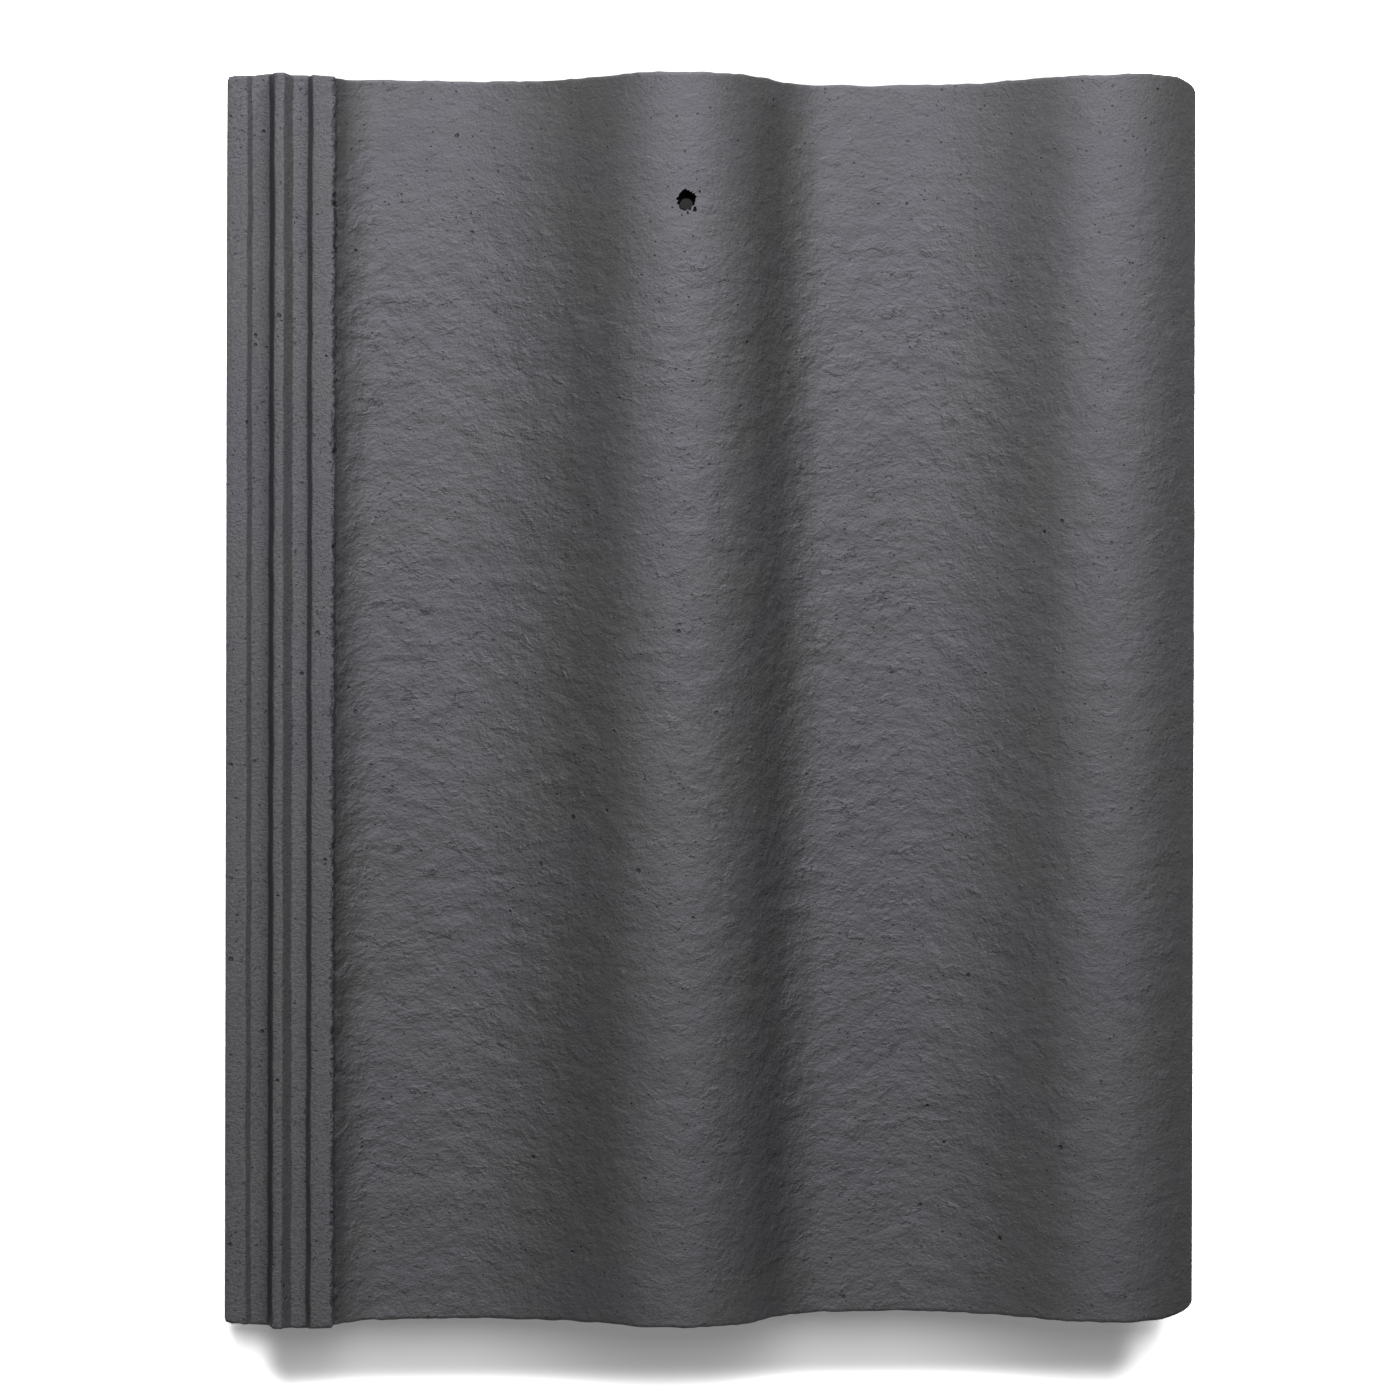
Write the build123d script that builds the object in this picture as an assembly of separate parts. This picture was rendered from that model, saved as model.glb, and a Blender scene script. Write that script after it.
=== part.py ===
from build123d import *
from math import atan2, cos, degrees, radians, sin, tan
import os

# Double-roll interlocking concrete roof tile, in millimetres.
# The tile is drawn as it sits on a batten: X runs across it from the grooved underlock on the left to the
# cover roll on the right, Y runs up the roof from the tail at 0 to the head, and Z is out of the roof, with
# 0 on the bottom of the two water pans. At the end it is laid down on a level floor.

# Overall sizes
TILE_LENGTH = 423.0
TILE_WIDTH = 330.0
COVER_WIDTH = 300.0
THICKNESS = 12.0

# Wave of the weather face, which repeats at half the cover width
ROLL_PITCH = COVER_WIDTH / 2
ROLL_HEIGHT = 33.0
RISE_START = 100.8
RISE_ANGLE = 40.0
FALL_END = 194.8
FALL_ANGLE = 55.0
PAN_RISE_RADIUS = 68.0
CREST_LEFT_RADIUS = 38.5
CREST_RIGHT_RADIUS = 31.5
PAN_FALL_RADIUS = 21.0

# Edge of the cover roll
COVER_SHOULDER_X = 318.4
COVER_EDGE_Z = 22.8
COVER_SHOULDER_RADIUS = 36.0
COVER_EDGE_RADIUS = 1.5

# Underlock: three ribs with two drain grooves between them
EDGE_RIB_Z = 13.0
EDGE_RIB_RIGHT = 7.0
OUTER_GROOVE_Z = 10.0
OUTER_GROOVE_LEFT = 8.6
OUTER_GROOVE_RIGHT = 14.5
MIDDLE_RIB_Z = 18.0
MIDDLE_RIB_LEFT = 16.5
MIDDLE_RIB_RIGHT = 19.2
INNER_GROOVE_Z = 12.0
INNER_GROOVE_LEFT = 22.3
INNER_GROOVE_RIGHT = 27.0
SHOULDER_RIB_Z = 16.5
SHOULDER_RIB_LEFT = 28.8
SHOULDER_RIB_RIGHT = 36.4
SHOULDER_STEP_Z = 8.5
SHOULDER_STEP_X = 37.4
PAN_START_X = 44.5
PAN_START_RADIUS = 18.5
RIB_RADIUS = 0.6
GROOVE_RADIUS = 0.5
UNDERLOCK_BOTTOM_Z = 1.0
UNDERLOCK_BOTTOM_RIGHT = 32.0
UNDERLOCK_BOTTOM_RADIUS = 5.0
HAUNCH_X = 43.0
HAUNCH_RADIUS = 12.0

# Overlock: two ribs under the cover roll that drop into the next tile's grooves
LOCK_CLEARANCE = 0.8
LOCK_FLANK_CLEARANCE = 1.2
LOCK_TOP_CLEARANCE = 1.0
LOCK_RIB_DRAFT = 2.0
LOCK_RIB_RADIUS = 0.6
LOCK_ROOT_RADIUS = 1.5
LIP_WIDTH = 2.0
LIP_CLEARANCE = 0.9
LIP_RADIUS = 0.3

# Nail hole through the middle roll
NAIL_HOLE_RADIUS = 3.0
NAIL_HOLE_X = 155.0
NAIL_HOLE_FROM_HEAD = 42.7

# Nibs that hang the tile on its batten
NIB_BATTEN_FACE_Y = 400.0
NIB_X = 71.0
NIB_WIDTH = 34.0
NIB_THICKNESS = 15.0
NIB_DEPTH = 13.0
NIB_TAPER = 5.0
NIB_EDGE_RADIUS = 2.0
NIB_FOOT_SPARE = 1.0

# Weather ribs across the underside of the tail
TAIL_RIB_DEPTH = 6.0
TAIL_RIB_WIDTH = 6.0
TAIL_RIB_BEVEL = 1.2
TAIL_RIB_FIRST_Y = 8.0
TAIL_RIB_SPACING = 24.0
TAIL_RIB_COUNT = 3
TAIL_RIB_LEFT = 50.0
TAIL_RIB_RIGHT = 297.0

# Plan corners
UNDERLOCK_CORNER_RADIUS = 2.0
COVER_HEAD_CORNER_RADIUS = 5.5
COVER_TAIL_CORNER_RADIUS = 9.5


def roll_corners(shift, height):
    """Control corners of one roll: foot of the rise, both shoulders and foot of the fall."""
    rise_run = height / tan(radians(RISE_ANGLE))
    fall_run = height / tan(radians(FALL_ANGLE))
    return [
        (RISE_START + shift, 0.0, PAN_RISE_RADIUS),
        (RISE_START + shift + rise_run, height, CREST_LEFT_RADIUS),
        (FALL_END + shift - fall_run, height, CREST_RIGHT_RADIUS),
        (FALL_END + shift, 0.0, PAN_FALL_RADIUS),
    ]


def underlock_face():
    """Corners of the ribs, the drain grooves and the step down into the first pan."""
    return [
        (0.0, EDGE_RIB_Z, RIB_RADIUS),
        (EDGE_RIB_RIGHT, EDGE_RIB_Z, RIB_RADIUS),
        (OUTER_GROOVE_LEFT, OUTER_GROOVE_Z, GROOVE_RADIUS),
        (OUTER_GROOVE_RIGHT, OUTER_GROOVE_Z, GROOVE_RADIUS),
        (MIDDLE_RIB_LEFT, MIDDLE_RIB_Z, RIB_RADIUS),
        (MIDDLE_RIB_RIGHT, MIDDLE_RIB_Z, RIB_RADIUS),
        (INNER_GROOVE_LEFT, INNER_GROOVE_Z, GROOVE_RADIUS),
        (INNER_GROOVE_RIGHT, INNER_GROOVE_Z, GROOVE_RADIUS),
        (SHOULDER_RIB_LEFT, SHOULDER_RIB_Z, RIB_RADIUS),
        (SHOULDER_RIB_RIGHT, SHOULDER_RIB_Z, RIB_RADIUS),
        (SHOULDER_STEP_X, SHOULDER_STEP_Z, RIB_RADIUS),
        (PAN_START_X, 0.0, PAN_START_RADIUS),
    ]


def wave_face():
    """Corners of the weather face from the foot of the first roll to the edge of the cover roll."""
    first_roll = roll_corners(0.0, ROLL_HEIGHT)
    cover_roll = roll_corners(ROLL_PITCH, ROLL_HEIGHT)[:2]
    cover_edge = [
        (COVER_SHOULDER_X, ROLL_HEIGHT, COVER_SHOULDER_RADIUS),
        (TILE_WIDTH, COVER_EDGE_Z, COVER_EDGE_RADIUS),
    ]
    return first_roll + cover_roll + cover_edge


def offset_corners(corners, thickness):
    """Move each inner corner of an outline down by the thickness, square to the lines beside it."""
    moved = []
    for before, corner, after in zip(corners, corners[1:], corners[2:]):
        incoming = Vector(corner[0] - before[0], corner[1] - before[1]).normalized()
        outgoing = Vector(after[0] - corner[0], after[1] - corner[1]).normalized()
        normal_in = Vector(incoming.Y, -incoming.X)
        normal_out = Vector(outgoing.Y, -outgoing.X)
        shift = (normal_in + normal_out) * (thickness / (1 + normal_in.dot(normal_out)))
        crest = incoming.cross(outgoing).Z < 0
        radius = corner[2] - thickness if crest else corner[2] + thickness
        moved.append((corner[0] + shift.X, corner[1] + shift.Y, radius))
    return moved


def wave_underside():
    """Corners of the underside below the pans and rolls, from left to right."""
    pan_start = (PAN_START_X, 0.0, PAN_START_RADIUS)
    haunch = (HAUNCH_X, -THICKNESS, HAUNCH_RADIUS)
    return [haunch] + offset_corners([pan_start] + wave_face()[:-1], THICKNESS)


def overlock_underside():
    """Corners under the cover roll, from the edge inwards, that clear the next tile's underlock."""
    next_tile = COVER_WIDTH
    lip_z = SHOULDER_RIB_Z + LIP_CLEARANCE
    inner_rib_z = INNER_GROOVE_Z + LOCK_CLEARANCE
    outer_rib_z = OUTER_GROOVE_Z + LOCK_CLEARANCE
    recess_z = MIDDLE_RIB_Z + LOCK_TOP_CLEARANCE
    outer_rib_left = next_tile + OUTER_GROOVE_LEFT + LOCK_FLANK_CLEARANCE
    return [
        (TILE_WIDTH, lip_z, 0.0),
        (TILE_WIDTH - LIP_WIDTH, lip_z, LIP_RADIUS),
        (next_tile + INNER_GROOVE_RIGHT - LOCK_CLEARANCE, inner_rib_z, LOCK_RIB_RADIUS),
        (next_tile + INNER_GROOVE_LEFT + LOCK_CLEARANCE, inner_rib_z, LOCK_RIB_RADIUS),
        (next_tile + MIDDLE_RIB_RIGHT + LOCK_FLANK_CLEARANCE, recess_z, LOCK_RIB_RADIUS),
        (next_tile + MIDDLE_RIB_LEFT - LOCK_FLANK_CLEARANCE, recess_z, LOCK_RIB_RADIUS),
        (next_tile + OUTER_GROOVE_RIGHT - LOCK_CLEARANCE, outer_rib_z, LOCK_RIB_RADIUS),
        (outer_rib_left, outer_rib_z, LOCK_RIB_RADIUS),
        (outer_rib_left - LOCK_RIB_DRAFT, ROLL_HEIGHT - THICKNESS, LOCK_ROOT_RADIUS),
    ]


def tile_section():
    """Closed cross-section of the tile between its cut ends."""
    underside = list(reversed(wave_underside()))
    underlock_bottom = [
        (UNDERLOCK_BOTTOM_RIGHT, UNDERLOCK_BOTTOM_Z, UNDERLOCK_BOTTOM_RADIUS),
        (0.0, UNDERLOCK_BOTTOM_Z, RIB_RADIUS),
    ]
    corners = underlock_face() + wave_face() + overlock_underside() + underside + underlock_bottom
    points = [(x, z) for x, z, radius in corners]
    radii = [radius for x, z, radius in corners]
    return make_face(Plane.XZ * FilletPolyline(*points, radius=radii, close=True))


def tail_rib_line(depth):
    """Corners of a line under the wave, at a depth below the weather face, where the weather ribs run."""
    guide = [(PAN_START_X, 0.0, PAN_START_RADIUS)] + wave_face()[:-1]
    left_end = (TAIL_RIB_LEFT, -depth, 0.0)
    right_end = (COVER_SHOULDER_X, ROLL_HEIGHT - depth, 0.0)
    return [left_end] + offset_corners(guide, depth) + [right_end]


def tail_rib_foot():
    """Corners of the weather ribs' foot: an even depth below the underside, following the wave."""
    underside = tail_rib_line(THICKNESS)
    return [(x, z - TAIL_RIB_DEPTH, radius) for x, z, radius in underside]


def tail_rib_section():
    """Cross-section of one weather rib, which follows the wave from pan to cover roll."""
    corners = tail_rib_line(THICKNESS / 2) + tail_rib_foot()[::-1]
    points = [(x, z) for x, z, radius in corners]
    radii = [radius for x, z, radius in corners]
    return make_face(Plane.XZ * FilletPolyline(*points, radius=radii, close=True))


def tail_ribs():
    """Weather ribs, evenly spaced up from the tail, that stop short of the next tile's underlock."""
    block = extrude(tail_rib_section(), amount=TAIL_RIB_WIDTH, dir=(0, 1, 0))
    points = [(x, z) for x, z, radius in tail_rib_foot()]
    radii = [radius for x, z, radius in tail_rib_foot()]
    foot_line = (Plane.XZ * FilletPolyline(*points, radius=radii[1:-1])).wire()
    foot = Shell.extrude(foot_line, Vector(0, TAIL_RIB_WIDTH, 0))
    long_edges = block.edges().filter_by(lambda edge: abs(edge.tangent_at(0.5).Y) < 0.5)
    foot_edges = long_edges.filter_by(lambda edge: foot.distance_to(edge @ 0.5) < 0.01)
    block = chamfer(foot_edges, TAIL_RIB_BEVEL)
    rib = split(block, bisect_by=Plane.YZ.offset(TAIL_RIB_RIGHT), keep=Keep.BOTTOM)
    first_edge = TAIL_RIB_FIRST_Y - TAIL_RIB_WIDTH / 2
    return [Pos(Y=first_edge + i * TAIL_RIB_SPACING) * rib for i in range(TAIL_RIB_COUNT)]


def hanging_nib(center_x):
    """Nib under a pan: upright on the batten side, tapered on the other three."""
    root_z = -THICKNESS / 2
    foot_z = -THICKNESS - NIB_DEPTH - NIB_FOOT_SPARE
    head_side = NIB_BATTEN_FACE_Y + NIB_THICKNESS
    front = Polyline(
        (center_x - NIB_WIDTH / 2, root_z),
        (center_x + NIB_WIDTH / 2, root_z),
        (center_x + NIB_WIDTH / 2 - NIB_TAPER, foot_z),
        (center_x - NIB_WIDTH / 2 + NIB_TAPER, foot_z),
        close=True,
    )
    side = Polyline(
        (NIB_BATTEN_FACE_Y, root_z),
        (head_side, root_z),
        (head_side - NIB_TAPER / 2, foot_z),
        (NIB_BATTEN_FACE_Y, foot_z),
        close=True,
    )
    across = extrude(make_face(Plane.XZ * front), amount=TILE_LENGTH, dir=(0, 1, 0))
    along = extrude(make_face(Plane.YZ * side), amount=TILE_WIDTH, dir=(1, 0, 0))
    nib = across & along
    slanted = nib.edges().filter_by(lambda edge: abs(edge.tangent_at(0.5).Z) > 0.5)
    return fillet(slanted, NIB_EDGE_RADIUS)


def plan_outline():
    """Upright block with the tile's plan: small corners on the left, rounder ones on the cover roll."""
    corners = FilletPolyline(
        (0.0, 0.0),
        (TILE_WIDTH, 0.0),
        (TILE_WIDTH, TILE_LENGTH),
        (0.0, TILE_LENGTH),
        radius=[
            UNDERLOCK_CORNER_RADIUS,
            COVER_TAIL_CORNER_RADIUS,
            COVER_HEAD_CORNER_RADIUS,
            UNDERLOCK_CORNER_RADIUS,
        ],
        close=True,
    )
    return extrude(make_face(corners), amount=ROLL_HEIGHT + THICKNESS, both=True)


def lay_down(shape):
    """Turn the tile onto a level floor, on its nibs and first tail rib, with the origin below its middle."""
    resting = Rot(X=degrees(REST_TILT)) * shape
    box = resting.bounding_box()
    return Pos(-box.center().X, -box.center().Y, -box.min.Z) * resting


# The floor touches the nibs' batten edges and the tail edge of the first rib's foot.
FLOOR_RUN = NIB_BATTEN_FACE_Y - (TAIL_RIB_FIRST_Y - TAIL_RIB_WIDTH / 2 + TAIL_RIB_BEVEL)
REST_TILT = atan2(NIB_DEPTH - TAIL_RIB_DEPTH, FLOOR_RUN)
floor_plane = Plane(
    origin=(0, NIB_BATTEN_FACE_Y, -THICKNESS - NIB_DEPTH),
    x_dir=(1, 0, 0),
    z_dir=(0, sin(REST_TILT), cos(REST_TILT)),
)

body = extrude(tile_section(), amount=TILE_LENGTH, dir=(0, 1, 0))
body = body & plan_outline()
for rib in tail_ribs():
    body = body + rib
for nib_x in (NIB_X, NIB_X + ROLL_PITCH):
    body = body + split(hanging_nib(nib_x), bisect_by=floor_plane, keep=Keep.TOP)
nail_hole = Pos(NAIL_HOLE_X, TILE_LENGTH - NAIL_HOLE_FROM_HEAD, ROLL_HEIGHT - THICKNESS / 2)
body = body - nail_hole * Cylinder(NAIL_HOLE_RADIUS, 2 * THICKNESS)

roof_tile = lay_down(body)
os.makedirs("parts", exist_ok=True)
export_step(roof_tile, "parts/roof_tile.step")
print("rest tilt", round(degrees(REST_TILT), 3), "box", roof_tile.bounding_box())
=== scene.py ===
import math

import bpy
from bpy.props import FloatProperty, FloatVectorProperty, PointerProperty
from mathutils import Matrix, Vector, noise


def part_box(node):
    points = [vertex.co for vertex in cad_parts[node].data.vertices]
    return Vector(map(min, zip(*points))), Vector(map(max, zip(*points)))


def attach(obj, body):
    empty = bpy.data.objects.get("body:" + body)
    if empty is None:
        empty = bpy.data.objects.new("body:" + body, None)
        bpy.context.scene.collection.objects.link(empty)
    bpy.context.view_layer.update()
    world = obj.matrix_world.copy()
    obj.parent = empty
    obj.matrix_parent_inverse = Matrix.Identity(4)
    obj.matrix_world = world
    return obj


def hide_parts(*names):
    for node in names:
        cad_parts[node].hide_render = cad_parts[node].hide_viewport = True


bl_info = {
    "name": "Double-Roll Concrete Roof Tile",
    "version": (1, 0, 0),
    "blender": (4, 5, 0),
    "location": "3D View > Sidebar > Roof Tile",
    "description": "Models a coated double-roll interlocking roof tile lying on a studio floor",
    "category": "Object",
}

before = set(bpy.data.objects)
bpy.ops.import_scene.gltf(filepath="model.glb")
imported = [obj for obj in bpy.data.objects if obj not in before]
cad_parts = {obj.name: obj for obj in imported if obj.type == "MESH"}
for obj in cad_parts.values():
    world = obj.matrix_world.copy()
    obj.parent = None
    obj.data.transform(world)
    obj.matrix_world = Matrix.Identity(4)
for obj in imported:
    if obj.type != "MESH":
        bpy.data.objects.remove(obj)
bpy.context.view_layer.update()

MM = 0.001

# The tile is drawn in millimetres as it sits on a batten: X across from the underlock, Y up from the tail,
# Z out of the roof with 0 on the bottom of the pans. It is laid down on the floor when it is finished.
RISE_START = 100.8
RISE_ANGLE = math.radians(40.0)
FALL_END = 194.8
FALL_ANGLE = math.radians(55.0)
PAN_START = (44.5, 0.0, 18.5)
# Rounding of a roll's four corners, from the foot of its rise to the foot of its fall.
ROLL_ROUNDING = (68.0, 38.5, 31.5, 21.0)
COVER_SHOULDER = (318.4, 36.0)
COVER_EDGE_Z = 22.8
COVER_EDGE_ROUNDING = 1.5
HAUNCH = (43.0, -12.0, 12.0)

# Corners of the side locks, each with its rounding.
UNDERLOCK = [
    (0.0, 13.0, 0.6), (7.0, 13.0, 0.6),
    (8.6, 10.0, 0.5), (14.5, 10.0, 0.5),
    (16.0, 18.0, 0.6), (19.2, 18.0, 0.6),
    (22.3, 12.0, 0.5), (27.4, 12.0, 0.5),
    (28.8, 16.5, 0.6), (36.4, 16.5, 0.6),
    (37.4, 8.5, 0.6),
]
OVERLOCK = [
    (330.0, 17.4, 0.2), (328.0, 17.4, 0.3),
    (326.2, 12.8, 0.6), (323.1, 12.8, 0.6),
    (320.4, 19.0, 0.6), (315.3, 19.0, 0.6),
    (313.7, 10.8, 0.6), (309.8, 10.8, 0.6),
    (307.8, 21.0, 1.5),
]
UNDERLOCK_BOTTOM = [(32.0, 1.0, 5.0), (0.0, 1.0, 0.6)]

# The part of the smooth underside that has wider columns, with their spacing and smallest gap. A point
# there lies deeper than half the shell under the weather face.
UNDERSIDE_LEFT = 47.5
UNDERSIDE_RIGHT = 303.0
UNDERSIDE_SPACING = 5.4
UNDERSIDE_GAP = 2.6
SHELL_HALF = 6.0

# Vertices closer than this count as being in one plane.
SAME_PLACE = 0.01
# The cut ends' blunt rim: how wide it is on the cut face and how far it is drawn back.
RIM_WIDTH = 0.3
RIM_DEPTH = 0.4
# Faces whose normal's Z is below this belong to the underside, and below the second are left bare.
FACES_DOWN = -0.3
BARE_DOWN = -0.25
# Normals whose Z is above this belong to the weather face.
FACES_UP = 0.15
# The whole tile's smoothing leaves edges sharper than this hard.
SMOOTH_ANGLE = math.radians(40.0)

# How far the side lock's walls wander, how high above the bottom that starts, how far right of the step
# it ends, and how far from the step its notches reach.
WANDER = 0.3
WANDER_ABOVE = 2.0
WANDER_PAST_STEP = 4.0
NOTCH_REACH = 2.5

# Places of the features under the tile.
RIB_EDGES = [(5.0, 11.0), (29.0, 35.0), (53.0, 59.0)]
RIB_DEPTH = 6.0
RIB_BEVEL = 1.2
RIB_LEFT = 50.0
RIB_RIGHT = 297.0
OPEN_STOPS = [144.0, 230.0, 315.0]
NIB_X = 71.0
NIB_WIDTH = 31.0
NIB_BATTEN_Y = 400.0
NIB_HEAD_Y = 414.2
NIB_DEPTH = 13.0
NIB_FOOT_WIDTH = 24.5
NIB_FOOT_HEAD_Y = 412.6
NIB_BEVEL = 1.8
# The nail hole's middle and radius at its mouth and at its foot: X, distance from the head, radius.
HOLE_MOUTH = (153.9, 43.1, 3.3)
HOLE_FOOT = (155.2, 43.6, 2.1)
HOLE_CHIPS = [
    (157.0, 46.3, 0.8), (158.6, 40.2, 0.5), (161.5, 37.8, 0.4), (154.6, 47.5, 0.45),
    (149.3, 45.8, 0.45), (152.6, 48.3, 0.3), (160.2, 38.9, 0.3),
]
# The near-black material of the hole's wall and chips is painted shade.
HOLE_SHADE = "Hole Wall"
HOLE_SIDES = 44
HOLE_RINGS = 13
# The cutter's length, and how far it stands out above the roll.
CUTTER_LENGTH = 30.0
CUTTER_ABOVE = 6.0

# How far the cut ends are worn back across the tile: X, distance.
HEAD_WEAR = [
    (0.0, 1.1), (14.0, 0.1), (21.0, 0.4), (27.0, 0.2), (28.5, 0.7), (36.4, 1.25), (37.4, 0.7), (46.0, 0.0),
    (104.0, 0.0), (118.0, 0.6), (132.0, 0.3), (145.0, 0.0), (280.0, 0.0), (292.0, 0.3), (306.0, 0.0),
    (330.0, 0.0),
]
TAIL_WEAR = [
    (0.0, 1.2), (4.0, 2.0), (11.0, 0.8), (14.0, 0.1), (20.0, -0.1), (27.0, -0.5), (30.0, 0.0),
    (112.0, 0.0), (122.0, 0.4), (132.0, 0.4), (140.0, 0.0), (330.0, 0.0),
]
# How far the wear, the skew and the raggedness of a cut end reach along the tile.
END_FADE = 22.0
# How far the cut ends are out of square at the side edges.
END_SKEW = 0.88
# Reach of the rounded plan corners across and along the tile, by side (1 right) and end (1 head).
PLAN_CORNERS = {(0, 0): (3.4, 2.3), (1, 0): (21.0, 6.4), (0, 1): (2.0, 2.0), (1, 1): (13.0, 6.2)}
REST_TILT = math.atan2(NIB_DEPTH - RIB_DEPTH, NIB_BATTEN_Y - RIB_EDGES[0][0] - RIB_BEVEL)

# Wrinkles lie in planes that lean this far back from upright.
WRINKLE_LEAN = math.radians(50.0)

# Places across the laid tile, in metres, that the coat's pattern follows, and where painted shade darkens
# the gutter beside the lock.
LOCK_EDGE_X = (-0.1285, -0.126)
LOCK_STEP_X = -0.1287
GUTTER_SHADE_X = -0.1264

# Where the floor changes from under the tile, and from the band of shadow below its tail, to the open, in
# metres from the middle.
UNDER_HALF_WIDTH = (0.15, 0.165)
UNDER_HALF_LENGTH = (0.2, 0.212)
BAND_Y = (-0.246, -0.228)
BAND_HALF_WIDTH = (0.142, 0.16)
# How bright the lit floor is in each of them, the glow added in the open, and the floor's share of white in
# the coat's reflections. The low gains paint shade under the tile and a shadow in the band below its tail.
OPEN_GAIN = 5.0
BAND_SHADOW_GAIN = 0.8
UNDER_SHADE_GAIN = 0.08
OPEN_GLOW = 0.22
FLOOR_IN_COAT = 0.1

# The softbox leans over the tile from beyond its head.
SOFTBOX_LOW_EDGE = (0.01, 0.77, 0.17)
SOFTBOX_HIGH_EDGE = (-0.02, 0.06, 1.52)
SOFTBOX_WIDTH = 0.62

# The camera stands almost straight above, a little towards the underlock. Its place, in millimetres, and
# its turn, in degrees, are those beside the tile as drawn.
CAMERA_PLACE = (14.65, 220.44, 1598.56)
CAMERA_TURN = (-0.3397, -5.2714, 0.1447)
CAMERA_LENS = 120.01


class RoofTileSizes(bpy.types.PropertyGroup):
    length: FloatProperty(
        name="Length", description="From tail to head", default=0.423, unit="LENGTH")
    width: FloatProperty(
        name="Width", description="From the underlock's edge to the cover roll's edge", default=0.33,
        unit="LENGTH")
    thickness: FloatProperty(
        name="Thickness", description="Of the concrete in the pans and rolls", default=0.012, unit="LENGTH")
    roll_pitch: FloatProperty(
        name="Roll Pitch", description="From one roll to the next", default=0.15, unit="LENGTH")
    roll_height: FloatProperty(
        name="Roll Height", description="From a pan to the top of a roll", default=0.033, unit="LENGTH")
    column_spacing: FloatProperty(
        name="Column Spacing", description="Of the mesh across the weather face", default=0.0024,
        unit="LENGTH")
    row_spacing: FloatProperty(
        name="Row Spacing", description="Of the mesh along the tile", default=0.0014, unit="LENGTH")
    swell: FloatProperty(
        name="Swell", description="Height of the broad unevenness of the weather face", default=0.0008,
        unit="LENGTH")
    ragged: FloatProperty(
        name="Ragged Ends", description="How far the cut ends stray from straight", default=0.0005,
        unit="LENGTH")
    end_bow: FloatProperty(
        name="End Bow", description="How far the cut ends reach out at the side edges", default=0.0009,
        unit="LENGTH")
    crumble: FloatProperty(
        name="Crumble", description="Depth of the notches along the side lock's step", default=0.0022,
        unit="LENGTH")


class RoofTileFinish(bpy.types.PropertyGroup):
    coat: FloatVectorProperty(
        name="Coat", description="Colour of the coated weather face", subtype="COLOR", size=3,
        min=0.0, max=1.0, default=(0.0690, 0.0690, 0.0660))
    sheen: FloatVectorProperty(
        name="Sheen", description="Tint of the coat's reflections", subtype="COLOR", size=3,
        min=0.0, max=1.0, default=(0.84, 0.81, 1.0))
    bare: FloatVectorProperty(
        name="Bare Concrete", description="Colour of the uncoated underside", subtype="COLOR", size=3,
        min=0.0, max=1.0, default=(0.085, 0.083, 0.082))
    coat_roughness: FloatProperty(
        name="Coat Roughness", description="Of the satin coat", subtype="FACTOR", default=0.57)
    wrinkle_depth: FloatProperty(
        name="Wrinkle Depth", description="Of the fine drag wrinkles", default=0.0012, unit="LENGTH")
    grain_depth: FloatProperty(
        name="Grain Depth", description="Of the sandy grain", default=0.00026, unit="LENGTH")


class RoofTileStudio(bpy.types.PropertyGroup):
    softbox_power: FloatProperty(
        name="Softbox Power", description="Of the large softbox above the head", subtype="POWER",
        default=15.4)
    room_light: FloatProperty(
        name="Room Light", description="Strength of the even light from all round", default=0.025)
    floor_colour: FloatVectorProperty(
        name="Floor", description="Colour that the studio floor throws back on the tile",
        subtype="COLOR", size=3, min=0.0, max=1.0, default=(0.35, 0.35, 0.35))


def start_fresh():
    """Leaves edit mode and deselects everything."""
    if bpy.context.object and bpy.context.object.mode != "OBJECT":
        bpy.ops.object.mode_set(mode="OBJECT")
    bpy.ops.object.select_all(action="DESELECT")


def rounded_outline(corners, spacing):
    """Points of a closed outline with rounded corners; each corner is (x, z, radius)."""
    points = []
    arcs = []
    count = len(corners)
    for index, (x, z, radius) in enumerate(corners):
        here = Vector((x, z))
        back = (Vector(corners[index - 1][:2]) - here).normalized()
        ahead = (Vector(corners[(index + 1) % count][:2]) - here).normalized()
        half = back.angle(ahead) / 2
        centre = here + (back + ahead).normalized() * (radius / math.sin(half))
        start = here + back * (radius / math.tan(half)) - centre
        turn = math.pi - 2 * half
        if back.x * ahead.y - back.y * ahead.x > 0:
            turn = -turn
        pieces = max(2, round(abs(turn) * radius / spacing))
        arcs.append([
            centre + Matrix.Rotation(turn * step / pieces, 2) @ start for step in range(pieces + 1)
        ])
    for arc, following in zip(arcs, arcs[1:] + arcs[:1]):
        points.extend(arc)
        run = following[0] - arc[-1]
        cuts = max(1, round(run.length / spacing))
        points.extend(arc[-1] + run * (step / cuts) for step in range(1, cuts))
    return points


def offset_corners(corners, thickness):
    """Inner corners of an open outline, moved down by a thickness square to the lines beside them."""
    moved = []
    for before, corner, after in zip(corners, corners[1:], corners[2:]):
        here = Vector(corner[:2])
        incoming = (here - Vector(before[:2])).normalized()
        outgoing = (Vector(after[:2]) - here).normalized()
        normal_in = Vector((incoming.y, -incoming.x))
        normal_out = Vector((outgoing.y, -outgoing.x))
        place = here + (normal_in + normal_out) * (thickness / (1 + normal_in.dot(normal_out)))
        crest = incoming.x * outgoing.y - incoming.y * outgoing.x < 0
        moved.append((place.x, place.y, corner[2] - thickness if crest else corner[2] + thickness))
    return moved


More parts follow.
